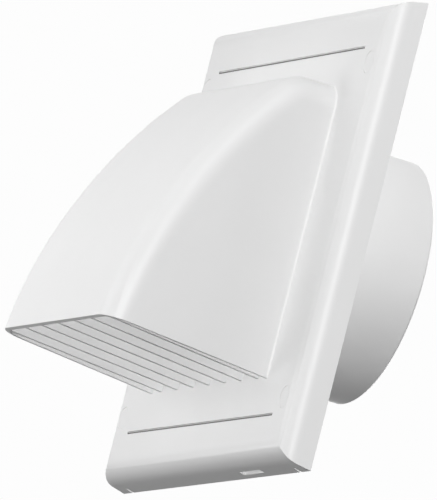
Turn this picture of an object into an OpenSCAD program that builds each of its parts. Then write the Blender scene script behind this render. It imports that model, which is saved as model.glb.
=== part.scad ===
// Gravity flap vent: a wall plate with a cowl over a round duct spigot, and a hinged flap inside.
// Millimetres. The origin is the centre of the duct in the plane of the wall.
// +Y goes into the wall, the cowl faces -Y, and +Z is up.

/* [Wall plate] */
// Side of the square plate where it meets the wall
plate_side = 187; // [180:0.5:200]
// Depth of the plate from the wall to its front face
plate_depth = 13; // [12:0.5:16]
// Wall thickness of the cover moulding
cover_wall = 2; // [1.6:0.1:2.4]
// Radius of the plate's rolled edge
edge_r = 8.6; // [6:0.1:9]
// Outward slope of the plate's flanks, in degrees
flank_slope = 11.3; // [6:0.1:14]

/* [Cowl] */
// Room between the frame's collar and the inside of the cowl's sides
side_room = 5.4; // [4:0.1:8]
// Room between the hinge's bearings and the inside of the cowl's top
top_room = 3; // [2:0.1:5]
// How far each side of the cowl leans in from the plate to the lip
side_taper = 2.3; // [1.5:0.1:3]
// Reach of the lip in front of the plate
cowl_reach = 68.8; // [66:0.2:74]
// Radius of the cowl's long front curve
front_r = 198.4; // [180:0.2:220]
// Slope of the front at the lip, in degrees from level
lip_slope = 83.4; // [81:0.1:86]
// Radius that joins the top to the front curve
brow_r = 13; // [12:0.5:15]
// Fall of the top away from the plate, in degrees
top_fall = 1; // [0:0.5:2]
// Radius between the front and the sides
corner_r = 10; // [8:0.5:11]
// Radius of the fillet between the cowl and the plate
root_r = 1.2; // [0.8:0.1:1.6]
// Rise of the mouth from the plate to the lip, in degrees
mouth_rise = 4.65; // [3:0.05:6]

/* [Lower front panel] */
// Slope at which the raised front panel starts, in degrees from level
panel_start = 67; // [62:0.5:72]
// Kink where the panel starts, in degrees
panel_kink = 1.3; // [0.6:0.1:2]
// Height of the panel above the front curve at the lip
panel_lift = 0.4; // [0.2:0.05:0.6]
// Angle round the corner that the panel reaches at its top
panel_edge_top = 25; // [20:1:30]
// Angle round the corner that the panel reaches at the lip
panel_edge_lip = 52; // [40:1:56]

/* [Mouth fins] */
// Number of fins across the mouth
fin_count = 7; // [5:1:9]
// Thickness of a fin
fin_t = 2.4; // [1.6:0.1:2.6]
// Height of a fin
fin_h = 6; // [4:0.2:8]
// Drop from the way through the plate to the tops of the fins
fin_drop = 0.2; // [0.1:0.1:1]
// How far the fins stop inside the mouth
fin_recess = 0.3; // [0.2:0.1:1]

/* [Plate details] */
// Distance of the two grooves' ends from the plate's sides
groove_end = 20.75; // [18:0.25:30]
// Distance of the grooves from the plate's top and bottom
groove_in = 20; // [16:0.5:22]
// Width of a groove
groove_w = 1; // [0.6:0.1:1.4]
// Depth of a groove
groove_depth = 0.6; // [0.4:0.1:1]
// Distance of the screw holes from the plate's sides
screw_side = 13; // [12.5:0.25:16]
// Distance of the screw holes from the plate's top and bottom
screw_end = 26.5; // [25:0.25:30]
// Diameter of a screw hole
screw_d = 4.8; // [4:0.1:5.2]
// Diameter of the recess for a screw's head
head_d = 9; // [8:0.1:10]
// Depth of the recess for a screw's head
head_depth = 6; // [5:0.2:7]
// Outer diameter of a screw post
post_d = 12; // [11.4:0.2:13]
// Diameter of a cap's face
cap_d = 8.8; // [7.8:0.1:9]
// Depth of a cap
cap_depth = 2.6; // [2:0.1:3.5]
// Wall of a cap
cap_wall = 1; // [0.8:0.1:1.4]
// Distance of the release slot from the middle
slot_x = 43.6; // [38:0.2:50]
// Length of the release slot
slot_len = 20; // [14:0.5:24]
// Width of the release slot
slot_w = 2.2; // [1.6:0.1:2.4]
// Distance from the wall to the middle of the slot
slot_back = 3.9; // [3.8:0.1:4.4]
// Distance of the drain notches from the plate's sides
notch_in = 9.5; // [8:0.5:14]
// Width of a drain notch
notch_w = 1.6; // [1.2:0.1:2.4]
// Length of a drain notch from the wall
notch_len = 3; // [2:0.5:4]

/* [Duct spigot and frame] */
// Outer diameter of the spigot
spigot_d = 98; // [92:0.5:104]
// Length of the spigot behind the wall plane
spigot_len = 44; // [30:1:70]
// Wall of the spigot and of the collar
spigot_wall = 2; // [1.6:0.1:2.4]
// Lead-in chamfer at the end of the spigot
spigot_chamfer = 0.8; // [0.4:0.1:1.2]
// Thickness of the frame's flange
flange_t = 2.4; // [2:0.1:2.6]
// Width of the seat that the flap closes on
seat_w = 4; // [3.5:0.1:5]
// Gap between the collar and the lower edge of the way through the plate
collar_gap = 1.2; // [0.8:0.1:2]
// Height of the frame's ribs over the flange
rib_h = 3; // [2:0.2:4]
// Thickness of the frame's ribs
rib_t = 1.8; // [1.4:0.1:2.4]
// Width of a snap arm
snap_w = 14; // [10:0.5:18]
// Thickness of a snap arm
snap_t = 1.6; // [1.4:0.1:1.8]
// Reach of a snap arm in front of the flange
snap_reach = 6.6; // [6.4:0.1:7]
// Height of a snap arm's barb
barb_h = 1.2; // [1:0.1:1.3]
// Gap between the cover and the frame's edge
nest_gap = 0.3; // [0.2:0.05:0.4]

/* [Gravity flap] */
// How far the flap laps over its seat
flap_lap = 3; // [2.5:0.1:3.4]
// Thickness of the flap
flap_t = 1.6; // [1.2:0.1:2]
// Height of the flap's stiffening ring
flap_ring_h = 1.4; // [1:0.1:2]
// Distance of the stiffening ring from the flap's edge
flap_ring_in = 10; // [6:0.5:20]
// Height of the hinge above the collar
hinge_rise = 1; // [0.8:0.1:2]
// Distance from the wall to the hinge
hinge_out = 9.5; // [9:0.1:10]
// Slope of the closed flap, in degrees
seat_tilt = 5; // [4:0.25:6]
// Diameter of the hinge pin
pin_d = 2.6; // [2:0.1:3]
// Running clearance of the pin in a knuckle
pin_clear = 0.08; // [0.05:0.01:0.1]
// Wall round the pin in a knuckle and in a bearing
knuckle_wall = 1.3; // [1.1:0.1:1.5]
// Distance from the middle to the near end of a knuckle
knuckle_in = 17; // [16.5:0.5:20]
// Length of a knuckle
knuckle_len = 12; // [8:0.5:13]
// Thickness of a pin bearing
bearing_t = 3; // [2.5:0.1:3.5]
// Thickness of the seal on the seat
seal_t = 1.4; // [1.2:0.1:1.8]
// Gap between the closed flap and the seal
seal_gap = 0.3; // [0.2:0.05:0.5]
// Distance of the seal from both edges of its seat
seal_in = 0.5; // [0.2:0.1:1]

/* [Hidden] */
$fn = 96;
white = "#f2f2f0";
off_white = "#e8e8e6";
steel = "#b9bcc0";
foam = "#3b3c3e";
// Overlap of pieces of one moulding, and the reach of a cut past a face
bite = 0.5;
// How far a flat runs into the round that it meets, so that the two cross in one clean edge
tuck = 0.005;
plate_half = plate_side / 2;
front_y = -plate_depth;
cover_in_y = front_y + cover_wall;

// The duct's bore and the collar round it set the flap, and the flap and its hinge set the cowl
bore_r = spigot_d / 2 - spigot_wall;
collar_r = bore_r + seat_w;
flap_r = bore_r + flap_lap;
hinge_z = collar_r + hinge_rise;
bearing_r = pin_d / 2 + knuckle_wall;
cowl_half = collar_r + side_room + cover_wall;
lip_half = cowl_half - side_taper;
cowl_top = hinge_z + bearing_r + top_room + cover_wall;
way_low = collar_r + collar_gap;
mouth_drop = way_low + fin_drop + fin_h;
fin_pitch = 2 * (cowl_half - cover_wall) / fin_count;
screw_dx = plate_side - 2 * screw_side;
screw_dz = plate_side - 2 * screw_end;
// Points round the brow and along the front curve, and steps round a corner
brow_steps = 8;
front_steps = 20;
edge_steps = 3;
corner_steps = 6;
// How much narrower than its knuckle a strap of the flap is, on each side
strap_in = 1;
// Half of the step at the panel's edge, in degrees round the corner
edge_blend = 2.5;

// The mouth's plane, the lip, and the centres of the front curve and the brow, as [y, z]
mouth_k = tan(mouth_rise);
lip = [front_y - cowl_reach, cowl_reach * mouth_k - mouth_drop];
front_c = lip + front_r * [sin(lip_slope), -cos(lip_slope)];
brow_from = [front_y, cowl_top - brow_r / cos(top_fall)];
brow_way = [-cos(top_fall), -sin(top_fall)];
brow_q = (brow_from - front_c) * brow_way;
brow_s = -brow_q + sqrt(brow_q * brow_q + pow(front_r - brow_r, 2)
    - (brow_from - front_c) * (brow_from - front_c));
brow_c = brow_from + brow_s * brow_way;
// Slope at which the brow runs into the front curve
join_slope = atan2(front_c[0] - brow_c[0], brow_c[1] - front_c[1]);
// Length along the front from the start of the panel to the lip
panel_len = front_r * (lip_slope - panel_start) * PI / 180;

// Height of the mouth's plane at a distance y from the wall plane
function mouth_z(y) = (front_y - y) * mouth_k - mouth_drop;
// How much narrower the cowl is at y than at the plate
function narrow(y) = 1 - (1 - lip_half / cowl_half) * (front_y - y) / cowl_reach;
// Slope at which an arc of radius r about the front curve's centre meets the mouth's plane
function end_slope(r) =
    acos((mouth_z(front_c[0]) - front_c[1]) / (r * sqrt(1 + mouth_k * mouth_k))) - atan(mouth_k);
// Point [y, z] on an arc about c where its slope is a
function on_arc(c, r, a) = c + r * [-sin(a), cos(a)];
// Height of the raised panel over the front curve at slope a: a kink, then a gentle crown
function lift(a) =
    let (s = max(0, a - panel_start) * front_r * PI / 180)
    let (k = tan(panel_kink))
    k * s - (k * panel_len - panel_lift) * pow(s / panel_len, 2);
// Angle round the corner of the panel's edge at slope a
function panel_edge(a) =
    panel_edge_top + (panel_edge_lip - panel_edge_top)
    * min(1, max(0, a - panel_start) / (lip_slope - panel_start));
// Angles round one corner, from the front to the side, at slope a
function corner_angles(a) =
    let (e = panel_edge(a))
    [for (i = [0 : edge_steps]) (e - edge_blend) * i / edge_steps,
        for (i = [0 : corner_steps]) e + edge_blend + (90 - e - edge_blend) * i / corner_steps];

// One station of the cowl's skin, from the top at the plate to the lip. side is -1 or 1, i counts
// the corner's angles, inset is 0 for the outside and the wall for the inside, y_back is where it starts.
function skin_line(side, i, inset, y_back) =
    let (lifted = i <= edge_steps && inset == 0 ? 1 : 0)
    let (r = corner_r - inset)
    let (a0 = corner_angles(0)[i])
    let (d0 = inset + r * (1 - cos(a0)))
    let (brow = [for (j = [0 : brow_steps])
        on_arc(brow_c, brow_r - d0, top_fall + (join_slope - top_fall) * j / brow_steps)])
    let (back = [y_back, cowl_top - (front_y - y_back) * tan(top_fall) - d0 / cos(top_fall)])
    [
        skin_point(side, back, a0, r),
        for (p = brow) skin_point(side, p, a0, r),
        for (j = [1 : front_steps])
            let (guess = join_slope + (end_slope(front_r - d0) - join_slope) * j / front_steps)
            let (d = inset + r * (1 - cos(corner_angles(guess)[i])))
            let (a = join_slope + (end_slope(front_r - d) - join_slope) * j / front_steps)
            let (angle = corner_angles(a)[i])
            let (far = front_r - inset - r * (1 - cos(angle)) + lifted * lift(a))
            let (slope = j == front_steps ? end_slope(far) : a)
            skin_point(side, on_arc(front_c, far, slope), angle, r)
    ];
function skin_point(side, p, angle, r) =
    [side * narrow(p[0]) * (cowl_half - corner_r + r * sin(angle)), p[0], p[1]];

// Stations from the left side to the right side
corner_count = edge_steps + corner_steps + 2;
function skin(inset, y_back) = concat(
    [for (i = [corner_count - 1 : -1 : 0]) skin_line(-1, i, inset, y_back)],
    [for (i = [0 : corner_count - 1]) skin_line(1, i, inset, y_back)]);
// The side wall's lower corner at the plate
function heel(side, inset, y_back) =
    [side * narrow(y_back) * (cowl_half - inset), y_back, mouth_z(y_back)];

// The cowl as one closed shell: an outer and an inner skin, their side walls, and the rim between them
module cowl_shell() {
    y_back = cover_in_y + bite;
    outer = skin(0, y_back);
    inner = skin(cover_wall, y_back);
    stations = len(outer);
    row = len(outer[0]);
    skin_size = stations * row;
    outer_heels = 2 * skin_size;
    points = concat(
        [for (line = outer) for (p = line) p],
        [for (line = inner) for (p = line) p],
        [heel(-1, 0, y_back), heel(1, 0, y_back)],
        [heel(-1, cover_wall, y_back), heel(1, cover_wall, y_back)]);
    last = (stations - 1) * row;
    // The open edge of a skin: along the top, down the right, along the lip and up the left
    function edge(base, heels) = concat(
        [for (s = [0 : stations - 1]) base + s * row], [heels + 1],
        [for (s = [stations - 1 : -1 : 0]) base + s * row + row - 1], [heels]);
    outer_edge = edge(0, outer_heels);
    inner_edge = edge(skin_size, outer_heels + 2);
    turns = len(outer_edge);
    faces = concat(
        [for (s = [0 : stations - 2]) for (j = [0 : row - 2]) for (f = quad(s * row + j, 1, row, true)) f],
        [for (s = [0 : stations - 2]) for (j = [0 : row - 2])
            for (f = quad(skin_size + s * row + j, 1, row, false)) f],
        [for (j = [0 : row - 2]) [outer_heels, j, j + 1]],
        [for (j = [0 : row - 2]) [outer_heels + 1, last + j + 1, last + j]],
        [for (j = [0 : row - 2]) [outer_heels + 2, skin_size + j + 1, skin_size + j]],
        [for (j = [0 : row - 2]) [outer_heels + 3, skin_size + last + j, skin_size + last + j + 1]],
        [for (t = [0 : turns - 1]) for (f = rim(outer_edge, inner_edge, t, (t + 1) % turns)) f]);
    polyhedron(points = points, faces = faces, convexity = 6);
}
// Two triangles of a grid's cell whose first corner is p, with the next point and the next row
function quad(p, next, row, outward) =
    outward ? [[p, p + row, p + next], [p + next, p + row, p + row + next]]
    : [[p, p + next, p + row], [p + next, p + row + next, p + row]];
function rim(a, b, i, j) = [[a[i], b[i], b[j]], [a[i], b[j], a[j]]];

// The small fillet where the cowl's sides and top meet the plate, swept round the cowl's foot
module cowl_root() {
    arc_steps = 3;
    turn_steps = 8;
    // Each end of the arc lies this far inside what it runs into
    sunk = 0.12;
    half = cowl_half;
    end_z = root_r / 2 - mouth_drop;
    foot = concat(
        [[-half, end_z, 180]],
        [for (i = [0 : turn_steps]) let (a = 180 - 90 * i / turn_steps)
            [corner_r - half + corner_r * cos(a), cowl_top - corner_r + corner_r * sin(a), a]],
        [for (i = [0 : turn_steps]) let (a = 90 - 90 * i / turn_steps)
            [half - corner_r + corner_r * cos(a), cowl_top - corner_r + corner_r * sin(a), a]],
        [[half, end_z, 0]]);
    section = concat(
        [for (i = [0 : arc_steps]) let (a = 90 * i / arc_steps)
            [root_r * (1 - sin(a)) - sunk, front_y - root_r * (1 - cos(a)) + sunk]],
        [[-bite, front_y - root_r + sunk], [-bite, front_y + bite], [root_r - sunk, front_y + bite]]);
    row = len(section);
    points = [for (f = foot) for (s = section)
        [f[0] + s[0] * cos(f[2]), s[1], f[1] + s[0] * sin(f[2])]];
    // Both ends are fans about the section's innermost corner, which sees every other
    hub = row - 2;
    last = (len(foot) - 1) * row;
    faces = concat(
        [for (t = [0 : len(foot) - 2]) for (j = [0 : row - 1]) for (f = band(t * row, j, row)) f],
        [for (j = [0 : row - 4]) [hub, j, j + 1]],
        [[hub, row - 1, 0]],
        [for (j = [0 : row - 4]) [last + hub, last + j + 1, last + j]],
        [[last + hub, last, last + row - 1]]);
    polyhedron(points = points, faces = faces, convexity = 4);
}
function band(base, j, row) =
    let (k = (j + 1) % row)
    [[base + j, base + row + j, base + k], [base + k, base + row + j, base + row + k]];

// A fin from the plate to the lip. place counts from the middle
module fin(place) {
    x_plate = place * fin_pitch;
    x_lip = x_plate * lip_half / cowl_half;
    low = end_slope(front_r - cover_wall / 2);
    high = low - (fin_h / front_r) * 180 / PI;
    a = on_arc(front_c, front_r - cover_wall / 2, low);
    b = on_arc(front_c, front_r - cover_wall / 2, high);
    y_back = front_y + cover_wall / 2;
    translate([x_plate, front_y, 0])
        rotate([0, 0, atan2(x_plate - x_lip, cowl_reach)])
        translate([-fin_t / 2, -front_y, 0])
        rotate([90, 0, 90])
        linear_extrude(fin_t)
        polygon([a + [0, fin_recess], b, [y_back, mouth_z(y_back) + fin_h], [y_back, mouth_z(y_back) + fin_recess]]);
}

// Outline of the plate across its edges: level front, rolled edge and sloping flank, from y = -depth to past
module edge_profile(half, depth, r, past) {
    c = [half - r / cos(flank_slope) + (r - depth) * tan(flank_slope), r - depth];
    flank = c + (r - tuck) * [cos(flank_slope), -sin(flank_slope)];
    intersection() {
        union() {
            polygon([[-c[0], -depth], [c[0], -depth], flank, [half + past * tan(flank_slope), past],
                [-half - past * tan(flank_slope), past], [-flank[0], flank[1]]]);
            for (side = [-1, 1]) translate([side * c[0], c[1]]) circle(r);
        }
        translate([-half - depth, -depth]) square([2 * (half + depth), depth + past]);
    }
}
// The plate's form: the same outline run both ways, which mitres its corners
module plate_block(half, depth, r, past) {
    run = 2 * (half + past) + edge_r;
    intersection() {
        translate([0, 0, -run / 2]) linear_extrude(run) edge_profile(half, depth, r, past);
        rotate([0, 90, 0]) translate([0, 0, -run / 2]) linear_extrude(run) edge_profile(half, depth, r, past);
    }
}
// Half of the cover's inside width at a distance y from the wall plane
function inside_half(y) = plate_half - cover_wall / cos(flank_slope) + y * tan(flank_slope);

// Puts its children at each screw's place
module at_screws() {
    for (sx = [-1, 1]) for (sz = [-1, 1]) translate([sx * screw_dx / 2, 0, sz * screw_dz / 2]) children();
}
// A round bar along +Y from y0 to y1
module bar(d, y0, y1) {
    translate([0, y0, 0]) rotate([-90, 0, 0]) cylinder(d = d, h = y1 - y0);
}

// The way through the plate's front, a half wall inside the cowl's outline, and open under the collar
module way_through() {
    half = cowl_half - cover_wall / 2;
    r = corner_r - cover_wall / 2;
    top = cowl_top - cover_wall / 2;
    translate([0, cover_in_y + bite, 0])
        rotate([90, 0, 0])
        linear_extrude(cover_wall + 2 * bite)
        union() {
            translate([-half, -way_low]) square([2 * half, way_low + top - r]);
            translate([r - half, top - 2 * r]) square([2 * (half - r), 2 * r]);
            for (side = [-1, 1]) translate([side * (half - r), top - r]) circle(r);
        }
}

// Places of the snap arms, as [x, side]
snaps = [for (sx = [-1, 1]) for (sz = [-1, 1]) [sx * slot_x, sz]];
snap_face = inside_half(-flange_t - snap_reach) - barb_h - nest_gap;
barb_y = -flange_t - snap_reach;
barb_len = 1.8;
catch_t = 1.4;
catch_front = barb_y + barb_len + nest_gap;

// A catch on the inside of the cover that a barb holds
module catch_rib(x, sz) {
    reach = snap_face + nest_gap;
    top = inside_half(catch_front) + cover_wall / 2;
    z0 = sz > 0 ? reach : -top;
    translate([x - snap_w / 2, catch_front, z0]) cube([snap_w, catch_t, top - reach]);
}

module front_cover() {
    color(white)
    difference() {
        union() {
            difference() {
                plate_block(plate_half, plate_depth, edge_r, 0);
                plate_block(inside_half(0), plate_depth - cover_wall, edge_r - cover_wall, bite);
                way_through();
            }
            cowl_shell();
            cowl_root();
            for (i = [0 : fin_count - 1]) fin(i - (fin_count - 1) / 2);
            at_screws() bar(post_d, front_y + cover_wall / 2, 0);
            for (s = snaps) catch_rib(s[0], s[1]);
        }
        at_screws() {
            bar(screw_d, front_y - bite, bite);
            bar(head_d, front_y - bite, front_y + head_depth);
        }
        for (sz = [-1, 1])
            translate([groove_end - plate_half, front_y - bite, sz * (plate_half - groove_in) - groove_w / 2])
            cube([plate_side - 2 * groove_end, groove_depth + bite, groove_w]);
        translate([slot_x - slot_len / 2, -slot_back - slot_w / 2, -plate_half - bite])
            cube([slot_len, slot_w, 2 * cover_wall + bite]);
        for (sx = [-1, 1])
            translate([sx * (plate_half - notch_in) - notch_w / 2, -notch_len, -plate_half - bite])
            cube([notch_w, notch_len + bite, 2 * cover_wall + bite]);
    }
}

// Turns its children from the hinge's own frame, where the flap hangs straight down, to the closed flap's
module at_hinge() {
    translate([0, -hinge_out, hinge_z]) rotate([-seat_tilt, 0, 0]) children();
}
// In that frame, the back of the flap, the front of the seal and the front of the seat, along Y
flap_back = -0.2;
seal_front = flap_back + seal_gap;
seat_y = seal_front + seal_t;
// Reach of the blocks and bars that the seat's slope cuts, more than the slope spans
reach = 2 * spigot_d;
bearing_x = knuckle_in + knuckle_len + nest_gap;
flange_half = inside_half(-flange_t) - nest_gap;

// The sloping front of the collar, as the space in front of the seat
module before_seat() {
    at_hinge() translate([0, seat_y - reach / 2, 0]) cube([reach, reach, 2 * reach], center = true);
}

// One bearing for the pin: a web on the flange with a round nose
module bearing(side) {
    x0 = side > 0 ? bearing_x : -bearing_x - bearing_t;
    translate([x0, 0, 0]) {
        translate([0, -hinge_out, hinge_z - bearing_r]) cube([bearing_t, hinge_out - flange_t + bite, 2 * bearing_r]);
        translate([0, -hinge_out, hinge_z]) rotate([0, 90, 0]) cylinder(r = bearing_r, h = bearing_t);
    }
}

// A snap arm with its barb, which points away from the middle
module snap_arm(x, sz) {
    rotate([0, sz > 0 ? 0 : 180, 0])
        translate([(sz > 0 ? x : -x) - snap_w / 2, 0, 0])
        rotate([90, 0, 90])
        linear_extrude(snap_w)
        polygon([[-flange_t + bite, snap_face - snap_t], [barb_y, snap_face - snap_t], [barb_y, snap_face],
            [barb_y + barb_len, snap_face + barb_h], [barb_y + barb_len, snap_face], [-flange_t + bite, snap_face]]);
}

module back_frame() {
    rib_from = collar_r - bite;
    rib_to = inside_half(-flange_t - rib_h) - nest_gap;
    color(off_white)
    difference() {
        union() {
            translate([-flange_half, -flange_t, -flange_half]) cube([2 * flange_half, flange_t, 2 * flange_half]);
            bar(spigot_d, -flange_t, spigot_len - spigot_chamfer);
            translate([0, spigot_len - spigot_chamfer, 0]) rotate([-90, 0, 0])
                cylinder(d1 = spigot_d, d2 = spigot_d - 2 * spigot_chamfer, h = spigot_chamfer);
            difference() {
                bar(2 * collar_r, -reach, -flange_t / 2);
                before_seat();
            }
            for (side = [-1, 1]) bearing(side);
            for (s = snaps) snap_arm(s[0], s[1]);
            for (a = [45 : 90 : 315]) rotate([0, a, 0])
                translate([rib_from, -flange_t - rib_h, -rib_t / 2])
                cube([rib_to - rib_from, rib_h + bite, rib_t]);
            for (a = [0 : 90 : 270]) rotate([0, a, 0])
                translate([rib_to - rib_t, -flange_t - rib_h, -slot_x + snap_w])
                cube([rib_t, rib_h + bite, 2 * (slot_x - snap_w)]);
        }
        bar(2 * bore_r, -reach - bite, spigot_len + bite);
        at_screws() bar(post_d + 2 * nest_gap, -flange_t - rib_h - bite, bite);
        translate([-bearing_x - bearing_t - bite, -hinge_out, hinge_z]) rotate([0, 90, 0])
            cylinder(d = pin_d + pin_clear, h = 2 * (bearing_x + bearing_t + bite));
    }
}

module gravity_flap() {
    lever = hinge_z / cos(seat_tilt);
    strap = knuckle_len - 2 * strap_in;
    color(white)
    at_hinge() difference() {
        union() {
            translate([0, flap_back - flap_t, -lever]) rotate([-90, 0, 0]) cylinder(r = flap_r, h = flap_t);
            translate([0, flap_back - flap_t - flap_ring_h, -lever]) rotate([-90, 0, 0])
                rotate_extrude() translate([flap_r - flap_ring_in - flap_t, 0]) square([flap_t, flap_ring_h + bite]);
            for (side = [-1, 1]) translate([side * (knuckle_in + knuckle_len / 2), 0, 0]) {
                translate([-knuckle_len / 2, 0, 0]) rotate([0, 90, 0]) cylinder(r = bearing_r, h = knuckle_len);
                translate([-strap / 2, flap_back - flap_t, -lever / 2]) cube([strap, flap_t, lever / 2]);
            }
        }
        translate([-bearing_x, 0, 0]) rotate([0, 90, 0])
            cylinder(r = pin_d / 2 + pin_clear, h = 2 * bearing_x);
    }
}

module hinge_pin() {
    long = 2 * (bearing_x + bearing_t);
    point = pin_d / 6;
    color(steel)
    translate([-long / 2, -hinge_out, hinge_z]) rotate([0, 90, 0]) rotate_extrude()
        polygon([[0, 0], [pin_d / 2 - point, 0], [pin_d / 2, point], [pin_d / 2, long - point],
            [pin_d / 2 - point, long], [0, long]]);
}

module flap_seal() {
    color(foam)
    difference() {
        intersection() {
            bar(2 * (collar_r - seal_in), -reach, 0);
            at_hinge() translate([0, seal_front + seal_t / 2, 0]) cube([reach, seal_t, 2 * reach], center = true);
        }
        bar(2 * (bore_r + seal_in), -reach - bite, bite);
        translate([-knuckle_in - knuckle_len, -hinge_out, hinge_z]) rotate([0, 90, 0])
            cylinder(r = bearing_r + nest_gap, h = 2 * (knuckle_in + knuckle_len));
    }
}

// A push-in cap whose face is flush with the plate's front
module screw_cap(sx, sz) {
    color(white)
    translate([sx * screw_dx / 2, front_y, sz * screw_dz / 2]) difference() {
        bar(cap_d, 0, cap_depth);
        bar(cap_d - 2 * cap_wall, cap_wall, cap_depth + bite);
    }
}

front_cover();
back_frame();
gravity_flap();
hinge_pin();
flap_seal();
screw_cap(-1, 1);  // screw_cap_upper_left
screw_cap(1, 1);  // screw_cap_upper_right
screw_cap(-1, -1);  // screw_cap_lower_left
screw_cap(1, -1);  // screw_cap_lower_right
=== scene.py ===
"""Gravity flap vent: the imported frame's pieces, with their edges rounded and their real finishes.

Laid out as an add-on: sizes and colours are properties, each piece has an operator, and main()
runs them in order. Everything is in metres, in the frame's own place: +Y goes into the wall, the
cowl faces -Y and +Z is up.
"""

import math

import bmesh
import bpy
from mathutils import Matrix, Vector


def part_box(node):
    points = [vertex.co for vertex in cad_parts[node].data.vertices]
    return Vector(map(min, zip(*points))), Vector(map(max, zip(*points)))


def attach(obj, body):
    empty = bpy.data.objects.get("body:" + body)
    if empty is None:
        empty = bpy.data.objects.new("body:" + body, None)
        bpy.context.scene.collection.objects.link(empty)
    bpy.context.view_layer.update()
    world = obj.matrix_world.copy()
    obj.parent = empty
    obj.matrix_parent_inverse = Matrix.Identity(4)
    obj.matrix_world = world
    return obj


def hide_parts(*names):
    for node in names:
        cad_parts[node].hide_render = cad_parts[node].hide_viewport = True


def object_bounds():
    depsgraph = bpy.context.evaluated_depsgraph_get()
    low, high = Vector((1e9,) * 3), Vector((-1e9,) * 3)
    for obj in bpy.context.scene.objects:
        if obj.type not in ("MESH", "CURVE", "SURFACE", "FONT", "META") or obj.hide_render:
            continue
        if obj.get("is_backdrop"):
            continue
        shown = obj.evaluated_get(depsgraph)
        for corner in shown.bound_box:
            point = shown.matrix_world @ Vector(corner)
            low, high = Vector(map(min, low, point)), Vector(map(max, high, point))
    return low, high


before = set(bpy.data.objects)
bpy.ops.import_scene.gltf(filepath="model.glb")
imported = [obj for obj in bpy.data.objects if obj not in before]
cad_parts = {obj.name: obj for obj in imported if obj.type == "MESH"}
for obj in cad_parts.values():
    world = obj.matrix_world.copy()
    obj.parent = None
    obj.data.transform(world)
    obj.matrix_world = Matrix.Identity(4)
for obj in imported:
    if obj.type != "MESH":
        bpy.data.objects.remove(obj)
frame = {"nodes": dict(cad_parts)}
CAD_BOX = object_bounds()

bl_info = {
    "name": "Gravity Flap Vent",
    "version": (1, 0, 0),
    "blender": (4, 5, 0),
    "location": "View3D > Sidebar > Vent",
    "description": "Rounds and finishes the pieces of a gravity flap vent, and sets its stage",
    "category": "Add Mesh",
}

MM = 0.001
CAPS = ("upper_left", "upper_right", "lower_left", "lower_right")


def linear(code):
    """The linear colour of an sRGB hex code."""
    parts = [int(code[i : i + 2], 16) / 255 for i in (1, 3, 5)]
    return tuple(p / 12.92 if p <= 0.04045 else ((p + 0.055) / 1.055) ** 2.4 for p in parts)


def colour_property(name, description, code):
    """A colour that a user may change, given as its sRGB hex code."""
    return bpy.props.FloatVectorProperty(
        name=name,
        description=description,
        subtype="COLOR",
        size=3,
        min=0,
        max=1,
        default=linear(code),
    )


def length_property(name, description, mm):
    """A length that a user may change, given in millimetres."""
    return bpy.props.FloatProperty(
        name=name, description=description, unit="LENGTH", min=0, default=mm * MM
    )


def angle_property(name, description, degrees):
    """An angle that a user may change, given in degrees."""
    return bpy.props.FloatProperty(
        name=name,
        description=description,
        subtype="ANGLE",
        unit="ROTATION",
        default=math.radians(degrees),
    )


class VentSizes(bpy.types.PropertyGroup):
    """The small radii that a mould leaves on edges the frame has sharp."""

    cover_round: length_property("Cover edge", "Radius on the cover's edges", 0.12)
    frame_round: length_property("Frame edge", "Radius on the back frame's edges", 0.2)
    flap_round: length_property("Flap edge", "Radius on the flap's edges", 0.25)
    cap_round: length_property("Cap edge", "Radius on the screw caps' edges", 0.2)


class VentColours(bpy.types.PropertyGroup):
    """Colours of the vent's materials."""

    cover: colour_property("Cover", "White of the cover, the flap and the caps", "#F1F1F1")
    # Dark grey painted into the cover's two grooves as their shade
    groove_shade: colour_property("Groove shade", "Painted shade in the cover's two grooves", "#4A4947")
    frame: colour_property("Frame", "White of the back frame", "#F0F0F0")
    steel: colour_property("Pin", "Steel of the hinge pin", "#B9BCC0")
    foam: colour_property("Seal", "Closed-cell foam of the flap's seal", "#3B3C3E")


class VentStage(bpy.types.PropertyGroup):
    """Camera and floor."""

    azimuth: angle_property("Azimuth", "Turn of the view from straight on, to the right", 68.93)
    elevation: angle_property("Elevation", "Height of the view over the horizon", -9.39)
    roll: angle_property("Roll", "Turn of the picture about the line of sight", 14.24)
    distance: length_property("Distance", "Distance from the camera to the target", 7000)
    view_height: length_property("View height", "Height of the picture at the target", 193.5)
    floor_drop: length_property("Floor drop", "Depth of the floor under the duct's centre", 14000)
    floor_side: length_property("Floor side", "Side of the square floor", 200000)
    background: colour_property(
        "Background", "Colour of the background, and of the floor to the eye", "#FDFDFD"
    )
    floor: colour_property("Floor", "Colour of the floor to the light that falls on it", "#6A6A6A")


def add_node(tree, kind, inputs=(), **settings):
    """Adds a node with its settings, and gives each named input a value or a link."""
    node = tree.nodes.new("ShaderNode" + kind)
    for name, value in settings.items():
        setattr(node, name, value)
    for name, value in dict(inputs).items():
        if isinstance(value, bpy.types.NodeSocket):
            tree.links.new(value, node.inputs[name])
        else:
            node.inputs[name].default_value = value
    return node


def new_material(name):
    """An empty node material with an output, as (material, tree, output)."""
    material = bpy.data.materials.new(name)
    material.use_nodes = True
    tree = material.node_tree
    tree.nodes.clear()
    return material, tree, add_node(tree, "OutputMaterial")


def rgba(colour):
    """The colour, opaque."""
    return (*colour, 1.0)


def shade(colour, factor):
    """The colour, darker or lighter by a factor, opaque."""
    return rgba(min(1.0, part * factor) for part in colour)


# Moulded ABS: the width of its waves, what they make of the white where it is darkest and
# lightest, and how deep the grain and the waves are
WAVE_WIDTH = 24 * MM
WAVE_DARK = 0.985
WAVE_LIGHT = 1.01
GRAIN_DEPTH = 0.02 * MM
WAVE_DEPTH = 0.05 * MM
ABS_IOR = 1.53
# How far the roughness falls and rises over the grain
GLOSSIER = 0.04
DULLER = 0.05


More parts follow.
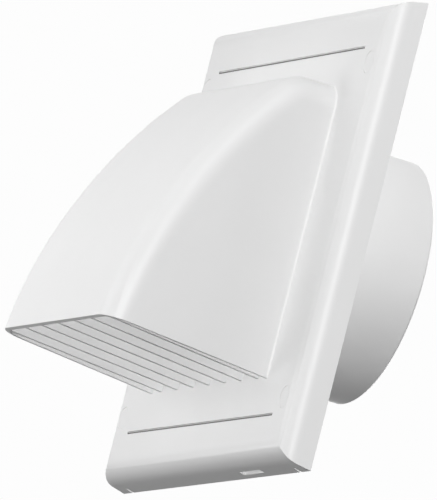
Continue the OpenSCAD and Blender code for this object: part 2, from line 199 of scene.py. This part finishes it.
def moulded_abs(name, colour, roughness, grain_mm, groove_shade=None):
    """ABS, injection moulded in a spark-eroded tool: an even white with a soft sheen.

    The eye gets a broad highlight that fades at the edges, a fine grain up close, and a faint
    waviness where the wall shrank as it cooled. The grain is drawn coarser than the real 0.1 mm,
    so that it shows.
    """
    material, tree, output = new_material(name)
    place = add_node(tree, "TexCoord").outputs["Object"]
    grain = add_node(
        tree, "TexNoise", {"Vector": place, "Scale": 1 / (grain_mm * MM), "Detail": 3.0}
    )
    wave = add_node(tree, "TexNoise", {"Vector": place, "Scale": 1 / WAVE_WIDTH, "Detail": 1.0})
    tint = add_node(
        tree,
        "Mix",
        {
            "Factor": wave.outputs["Fac"],
            "A": shade(colour, WAVE_DARK),
            "B": shade(colour, WAVE_LIGHT),
        },
        data_type="RGBA",
    )
    # Painted shade: a dark grey down in the cover's two grooves
    if groove_shade is not None:
        tint = add_painted_groove_shade(tree, place, tint, groove_shade)
    gloss = add_node(
        tree,
        "MapRange",
        {
            "Value": grain.outputs["Fac"],
            "To Min": roughness - GLOSSIER,
            "To Max": roughness + DULLER,
        },
    )
    fine = add_node(
        tree, "Bump", {"Height": grain.outputs["Fac"], "Strength": 0.25, "Distance": GRAIN_DEPTH}
    )
    shrink = add_node(
        tree,
        "Bump",
        {
            "Height": wave.outputs["Fac"],
            "Normal": fine.outputs["Normal"],
            "Strength": 0.3,
            "Distance": WAVE_DEPTH,
        },
    )
    shader = add_node(
        tree,
        "BsdfPrincipled",
        {
            "Base Color": tint.outputs["Result"],
            "Roughness": gloss.outputs["Result"],
            "Normal": shrink.outputs["Normal"],
            "IOR": ABS_IOR,
        },
    )
    tree.links.new(shader.outputs["BSDF"], output.inputs["Surface"])
    return material


# The cover's two grooves: their height above and below the middle, and a length to either side
# that holds their ends
GROOVE_HEIGHT = 73.5 * MM
GROOVE_REACH = 75 * MM
# The painted shade's Y, near the floor of a groove, and how far it goes to either side of that
GROOVE_SHADE_Y = -12.5 * MM
GROOVE_SHADE_ROOM = 0.25 * MM
# How far from the middle of a groove the painted shade is full, and where it ends
GROOVE_SHADE_FULL = 0.15 * MM
GROOVE_SHADE_END = 0.5 * MM


def add_painted_groove_shade(tree, place, tint, groove_shade):
    """The tint, with painted shade in the two grooves that run across above and below the middle.

    A dark grey stands in for the shade down in the grooves. It is darkest along the middle of a
    groove, and the groove is told from the plate's face by its depth.
    """
    axes = add_node(tree, "SeparateXYZ", {"Vector": place})
    level = add_node(tree, "Math", {0: axes.outputs["Z"]}, operation="ABSOLUTE")
    off = add_node(
        tree, "Math", {0: level.outputs["Value"], 1: GROOVE_HEIGHT}, operation="SUBTRACT"
    )
    away = add_node(tree, "Math", {0: off.outputs["Value"]}, operation="ABSOLUTE")
    across = add_node(
        tree,
        "MapRange",
        {"Value": away.outputs["Value"], "From Min": GROOVE_SHADE_END, "From Max": GROOVE_SHADE_FULL},
        interpolation_type="SMOOTHSTEP",
    )
    sunk = add_node(
        tree, "Math", {0: axes.outputs["Y"], 1: GROOVE_SHADE_Y, 2: GROOVE_SHADE_ROOM}, operation="COMPARE"
    )
    inner = add_node(
        tree, "Math", {0: axes.outputs["X"], 1: 0.0, 2: GROOVE_REACH}, operation="COMPARE"
    )
    groove = add_node(
        tree, "Math", {0: sunk.outputs["Value"], 1: inner.outputs["Value"]}, operation="MULTIPLY"
    )
    share = add_node(
        tree,
        "Math",
        {0: across.outputs["Result"], 1: groove.outputs["Value"]},
        operation="MULTIPLY",
    )
    return add_node(
        tree,
        "Mix",
        {"Factor": share.outputs["Value"], "A": tint.outputs["Result"], "B": rgba(groove_shade)},
        data_type="RGBA",
    )


# Length and width of a drawn wire's lines, wider than the real ones so that they show
LINE_LENGTH = 25 * MM
LINE_WIDTH = 0.25 * MM
LINE_DEPTH = 0.01 * MM


def drawn_steel(name, colour):
    """Stainless wire, drawn through a die: its lines stretch a highlight round the pin."""
    material, tree, output = new_material(name)
    place = add_node(tree, "TexCoord").outputs["Object"]
    along = add_node(
        tree,
        "Mapping",
        {"Vector": place, "Scale": (1 / LINE_LENGTH, 1 / LINE_WIDTH, 1 / LINE_WIDTH)},
    )
    lines = add_node(
        tree, "TexNoise", {"Vector": along.outputs["Vector"], "Scale": 1.0, "Detail": 2.0}
    )
    gloss = add_node(
        tree, "MapRange", {"Value": lines.outputs["Fac"], "To Min": 0.2, "To Max": 0.38}
    )
    scratch = add_node(
        tree, "Bump", {"Height": lines.outputs["Fac"], "Strength": 0.3, "Distance": LINE_DEPTH}
    )
    shader = add_node(
        tree,
        "BsdfPrincipled",
        {
            "Base Color": rgba(colour),
            "Metallic": 1.0,
            "Roughness": gloss.outputs["Result"],
            "Normal": scratch.outputs["Normal"],
        },
    )
    tree.links.new(shader.outputs["BSDF"], output.inputs["Surface"])
    return material


# Width and depth of a foam's cells, the painted shade in their middle and the painted light at
# their walls
CELL_WIDTH = 0.7 * MM
CELL_DEPTH = 0.25 * MM
PIT_PAINTED_SHADE = 0.45
WALL_PAINTED_LIGHT = 1.2


def closed_cell_foam(name, colour):
    """EPDM foam, expanded and skived: a dull dark skin pitted with cells of about 0.7 mm."""
    material, tree, output = new_material(name)
    place = add_node(tree, "TexCoord").outputs["Object"]
    cells = add_node(tree, "TexVoronoi", {"Vector": place, "Scale": 1 / CELL_WIDTH})
    # Painted shade and light: each pit is darker in its middle and lighter at its walls, following
    # the bump
    tint = add_node(
        tree,
        "Mix",
        {
            "Factor": cells.outputs["Distance"],
            "A": shade(colour, PIT_PAINTED_SHADE),
            "B": shade(colour, WALL_PAINTED_LIGHT),
        },
        data_type="RGBA",
    )
    pits = add_node(
        tree, "Bump", {"Height": cells.outputs["Distance"], "Strength": 0.7, "Distance": CELL_DEPTH}
    )
    shader = add_node(
        tree,
        "BsdfPrincipled",
        {
            "Base Color": tint.outputs["Result"],
            "Roughness": 0.9,
            "Specular IOR Level": 0.25,
            "Normal": pits.outputs["Normal"],
        },
    )
    tree.links.new(shader.outputs["BSDF"], output.inputs["Surface"])
    return material


def dress(piece, material):
    """Gives the piece its material in place of any that it came with."""
    piece.data.materials.clear()
    piece.data.materials.append(material)


# Points nearer than WELD are one, faces that turn by less than FLAT are one, and an edge that
# turns by more than SHARP is a corner. No run of corners under SHORTEST_RUN is rounded, and an
# edge that turns by less than SMOOTH is shaded smooth.
WELD = 0.002 * MM
FLAT = math.radians(0.3)
SHARP = math.radians(32)
SHORTEST_RUN = 5 * MM
SMOOTH = math.radians(35)
# The caps' holes reach the plate's rolled sides, where there is no room for a radius
HOLE_ROOM = 2 * MM


def activate(piece):
    """Makes the piece the only one selected, and the active one."""
    bpy.ops.object.select_all(action="DESELECT")
    piece.select_set(True)
    bpy.context.view_layer.objects.active = piece


def runs(edges):
    """The edges in groups that hang together."""
    left = set(edges)
    while left:
        run, ends = [], [left.pop()]
        while ends:
            edge = ends.pop()
            run.append(edge)
            beside = {near for vert in edge.verts for near in vert.link_edges} & left
            left -= beside
            ends += beside
        yield run


def around(box, margin):
    """The box, larger by a margin on every side."""
    low, high = box
    return [a - margin for a in low], [b + margin for b in high]


def within(point, low, high):
    """Whether the point lies in the box."""
    return all(a <= p <= b for a, p, b in zip(low, point, high))


def select_outer_corners(piece, spared):
    """Selects the sharp edges that stick out, but no short run and none in a spared box."""
    mesh = bmesh.from_edit_mesh(piece.data)
    corners = [e for e in mesh.edges if e.is_convex and e.calc_face_angle() > SHARP]
    for run in runs(corners):
        if sum(edge.calc_length() for edge in run) < SHORTEST_RUN:
            continue
        for edge in run:
            middle = (edge.verts[0].co + edge.verts[1].co) / 2
            if not any(within(middle, low, high) for low, high in spared):
                edge.select_set(True)
    bmesh.update_edit_mesh(piece.data)


def rounded_copy(node, name, radius, spared=()):
    """A copy of a CAD node as one welded mesh, its flats whole and its outer edges rounded."""
    piece = bpy.data.objects.new(name, frame["nodes"][node].data.copy())
    bpy.context.collection.objects.link(piece)
    activate(piece)
    bpy.ops.mesh.customdata_custom_splitnormals_clear()
    bpy.ops.object.mode_set(mode="EDIT")
    bpy.ops.mesh.select_mode(type="EDGE")
    bpy.ops.mesh.select_all(action="SELECT")
    bpy.ops.mesh.remove_doubles(threshold=WELD)
    bpy.ops.mesh.dissolve_limited(angle_limit=FLAT)
    bpy.ops.mesh.select_all(action="DESELECT")
    select_outer_corners(piece, spared)
    bpy.ops.mesh.bevel(
        offset=radius, segments=2, profile=0.5, clamp_overlap=False, miter_outer="ARC"
    )
    bpy.ops.object.mode_set(mode="OBJECT")
    bpy.ops.object.shade_smooth_by_angle(angle=SMOOTH)
    weights = piece.modifiers.new("Flat faces stay flat", "WEIGHTED_NORMAL")
    weights.keep_sharp = True
    bpy.ops.object.modifier_apply(modifier=weights.name)
    return piece


class VENT_OT_cover(bpy.types.Operator):
    """Front cover: one moulding with the cowl, its fins and the plate"""

    bl_idname = "vent.cover"
    bl_label = "Front Cover"

    def execute(self, context):
        scene = context.scene
        colours = scene.vent_colours
        holes = [around(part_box("screw_cap_" + place), HOLE_ROOM) for place in CAPS]
        piece = rounded_copy("front_cover", "cover", scene.vent_sizes.cover_round, holes)
        material = moulded_abs(
            "White moulded ABS", colours.cover, roughness=0.4, grain_mm=0.35, groove_shade=colours.groove_shade
        )
        dress(piece, material)
        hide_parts("front_cover")
        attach(piece, "housing")
        return {"FINISHED"}


class VENT_OT_frame(bpy.types.Operator):
    """Back frame: the flange, the spigot and the flap's seat"""

    bl_idname = "vent.back_frame"
    bl_label = "Back Frame"

    def execute(self, context):
        scene = context.scene
        piece = rounded_copy("back_frame", "frame", scene.vent_sizes.frame_round)
        material = moulded_abs(
            "Off-white moulded ABS", scene.vent_colours.frame, roughness=0.46, grain_mm=0.45
        )
        dress(piece, material)
        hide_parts("back_frame")
        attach(piece, "housing")
        return {"FINISHED"}


class VENT_OT_flap(bpy.types.Operator):
    """Gravity flap, with its stiffening ring, straps and knuckles"""

    bl_idname = "vent.flap"
    bl_label = "Gravity Flap"

    def execute(self, context):
        scene = context.scene
        piece = rounded_copy("gravity_flap", "flap", scene.vent_sizes.flap_round)
        material = moulded_abs(
            "White moulded ABS, flap", scene.vent_colours.cover, roughness=0.42, grain_mm=0.35
        )
        dress(piece, material)
        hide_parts("gravity_flap")
        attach(piece, "flap")
        return {"FINISHED"}


class VENT_OT_caps(bpy.types.Operator):
    """Four push-in caps over the wall screws"""

    bl_idname = "vent.caps"
    bl_label = "Screw Caps"

    def execute(self, context):
        scene = context.scene
        material = moulded_abs(
            "White moulded ABS, cap", scene.vent_colours.cover, roughness=0.38, grain_mm=0.3
        )
        for place in CAPS:
            node = "screw_cap_" + place
            piece = rounded_copy(node, "cap_" + place, scene.vent_sizes.cap_round)
            dress(piece, material)
            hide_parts(node)
            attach(piece, "housing")
        return {"FINISHED"}


class VENT_OT_hinge(bpy.types.Operator):
    """Hinge pin and flap seal: the frame's own solids, in drawn steel and closed-cell foam"""

    bl_idname = "vent.hinge"
    bl_label = "Hinge Pin and Seal"

    def execute(self, context):
        colours = context.scene.vent_colours
        nodes = frame["nodes"]
        dress(nodes["hinge_pin"], drawn_steel("Drawn stainless steel", colours.steel))
        dress(nodes["flap_seal"], closed_cell_foam("Closed-cell EPDM foam", colours.foam))
        return {"FINISHED"}


# Name, azimuth and elevation in degrees, distance and side in metres, power in watts, and whether
# it casts shadows. The first three stand for a room's even light from the front: the photo has no
# shadow on the plate or in the mouth.
LAMPS = (
    ("Front, high", 40, 45, 1.5, 0.5, 3.6, False),
    ("Front, low", 50, 10, 1.5, 0.5, 10.2, False),
    ("Front, level", 10, 6, 1.5, 0.5, 1.3, False),
    ("Right", 115, 3, 1.5, 1.0, 2.1, True),
    ("Right rear", 140, 0, 1.5, 0.6, 3.15, True),
    ("Near left", -25, -10, 0.4, 0.2, 0.46, True),
    ("Left rear", -122, 8, 1.5, 0.8, 5.0, True),
    ("Back", 205, 25, 1.5, 1.2, 8.0, True),
)
# What the lamps point at, and what is in the middle of the picture
LAMP_TARGET = Vector((0, -30, 0)) * MM
CAMERA_TARGET = Vector((-8.41, -19.57, -4.86)) * MM
# The camera's film in millimetres, and the nearest and farthest that it sees in metres
FILM_WIDTH = 36
NEAREST = 0.1
FARTHEST = 100
# Strength of the room's even light, and how much the floor glows to the eye besides what light
# falls on it
ROOM_LIGHT = 0.25
FLOOR_GLOW = 0.965


def from_angles(azimuth, elevation):
    """The direction to something seen at that azimuth, 0 in front and 90 to the right."""
    level = math.cos(elevation)
    return Vector((math.sin(azimuth) * level, -math.cos(azimuth) * level, math.sin(elevation)))


def seen_share(tree):
    """1 for what the camera sees, straight or in gloss and glass, and 0 for light on its way."""
    path = add_node(tree, "LightPath")
    glossy = add_node(
        tree,
        "Math",
        {0: path.outputs["Is Camera Ray"], 1: path.outputs["Is Glossy Ray"]},
        operation="MAXIMUM",
    )
    seen = add_node(
        tree,
        "Math",
        {0: glossy.outputs["Value"], 1: path.outputs["Is Transmission Ray"]},
        operation="MAXIMUM",
    )
    return seen.outputs["Value"]


class VENT_OT_stage(bpy.types.Operator):
    """Floor, soft lamps, pale world and the camera"""

    bl_idname = "vent.stage"
    bl_label = "Stage"

    def execute(self, context):
        stage = context.scene.vent_stage
        self.add_world(context.scene, stage)
        self.add_floor(stage)
        self.add_lamps()
        self.add_camera(context.scene, stage)
        return {"FINISHED"}

    def add_world(self, scene, stage):
        """A room that lights the vent evenly, and shows as the background."""
        world = bpy.data.worlds.new("Pale room")
        world.use_nodes = True
        tree = world.node_tree
        tree.nodes.clear()
        room = add_node(
            tree, "Background", {"Color": rgba((1.0, 1.0, 1.0)), "Strength": ROOM_LIGHT}
        )
        shown = add_node(tree, "Background", {"Color": rgba(stage.background), "Strength": 1.0})
        mix = add_node(
            tree,
            "MixShader",
            {
                0: seen_share(tree),
                1: room.outputs["Background"],
                2: shown.outputs["Background"],
            },
        )
        output = add_node(tree, "OutputWorld")
        tree.links.new(mix.outputs["Shader"], output.inputs["Surface"])
        scene.world = world

    def add_floor(self, stage):
        """A floor that takes light and shadow, and shows as the background does."""
        bpy.ops.mesh.primitive_plane_add(size=stage.floor_side, location=(0, 0, -stage.floor_drop))
        floor = bpy.context.active_object
        floor.name = "floor"
        material, tree, output = new_material("Pale floor")
        lit = add_node(tree, "BsdfDiffuse", {"Color": rgba(stage.floor)})
        glow = add_node(tree, "Math", {0: seen_share(tree), 1: FLOOR_GLOW}, operation="MULTIPLY")
        plain = add_node(
            tree,
            "Emission",
            {"Color": rgba(stage.background), "Strength": glow.outputs["Value"]},
        )
        shader = add_node(
            tree, "AddShader", {0: lit.outputs["BSDF"], 1: plain.outputs["Emission"]}
        )
        tree.links.new(shader.outputs["Shader"], output.inputs["Surface"])
        floor.data.materials.append(material)
        floor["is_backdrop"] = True

    def add_lamps(self):
        """Square soft lamps round the vent, out of the camera's sight."""
        for name, azimuth, elevation, distance, side, watts, shadow in LAMPS:
            data = bpy.data.lights.new(name, "AREA")
            data.shape = "SQUARE"
            data.size = side
            data.energy = watts
            data.use_shadow = shadow
            lamp = bpy.data.objects.new(name, data)
            bpy.context.collection.objects.link(lamp)
            towards = from_angles(math.radians(azimuth), math.radians(elevation))
            lamp.location = LAMP_TARGET + towards * distance
            lamp.rotation_euler = (-towards).to_track_quat("-Z", "Y").to_euler()
            lamp.visible_camera = False

    def add_camera(self, scene, stage):
        """A lens so long that the picture is all but a parallel projection, as the photo is."""
        data = bpy.data.cameras.new("Long lens")
        data.sensor_width = FILM_WIDTH
        data.lens = FILM_WIDTH * stage.distance / stage.view_height
        data.clip_start = NEAREST
        data.clip_end = FARTHEST
        camera = bpy.data.objects.new("camera", data)
        bpy.context.collection.objects.link(camera)
        back = from_angles(stage.azimuth, stage.elevation)
        level = (-back).to_track_quat("-Z", "Y").to_matrix()
        turn = level @ Matrix.Rotation(stage.roll, 3, "Z")
        place = CAMERA_TARGET + back * stage.distance
        camera.matrix_world = Matrix.Translation(place) @ turn.to_4x4()
        scene.camera = camera
        scene.view_settings.view_transform = "Standard"


class VENT_PT_panel(bpy.types.Panel):
    """Lists the vent's pieces, sizes and colours"""

    bl_label = "Gravity Flap Vent"
    bl_idname = "VENT_PT_panel"
    bl_space_type = "VIEW_3D"
    bl_region_type = "UI"
    bl_category = "Vent"

    def draw(self, context):
        scene = context.scene
        for kind in OPERATORS:
            self.layout.operator(kind.bl_idname)
        for group in (scene.vent_sizes, scene.vent_colours, scene.vent_stage):
            box = self.layout.box()
            for name in group.__annotations__:
                box.prop(group, name)


GROUPS = (VentSizes, VentColours, VentStage)
OPERATORS = (
    VENT_OT_cover,
    VENT_OT_frame,
    VENT_OT_flap,
    VENT_OT_caps,
    VENT_OT_hinge,
    VENT_OT_stage,
)


def register():
    for kind in (*GROUPS, *OPERATORS, VENT_PT_panel):
        bpy.utils.register_class(kind)
    bpy.types.Scene.vent_sizes = bpy.props.PointerProperty(type=VentSizes)
    bpy.types.Scene.vent_colours = bpy.props.PointerProperty(type=VentColours)
    bpy.types.Scene.vent_stage = bpy.props.PointerProperty(type=VentStage)


def unregister():
    del bpy.types.Scene.vent_stage
    del bpy.types.Scene.vent_colours
    del bpy.types.Scene.vent_sizes
    for kind in (VENT_PT_panel, *reversed(OPERATORS), *reversed(GROUPS)):
        bpy.utils.unregister_class(kind)


def main():
    register()
    bpy.ops.vent.cover()
    bpy.ops.vent.back_frame()
    bpy.ops.vent.flap()
    bpy.ops.vent.caps()
    bpy.ops.vent.hinge()
    bpy.ops.vent.stage()
    boxes = {"cad": CAD_BOX, "visual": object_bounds()}
    sizes = {name: [list(corner) for corner in box] for name, box in boxes.items()}


if __name__ == "__main__":
    main()
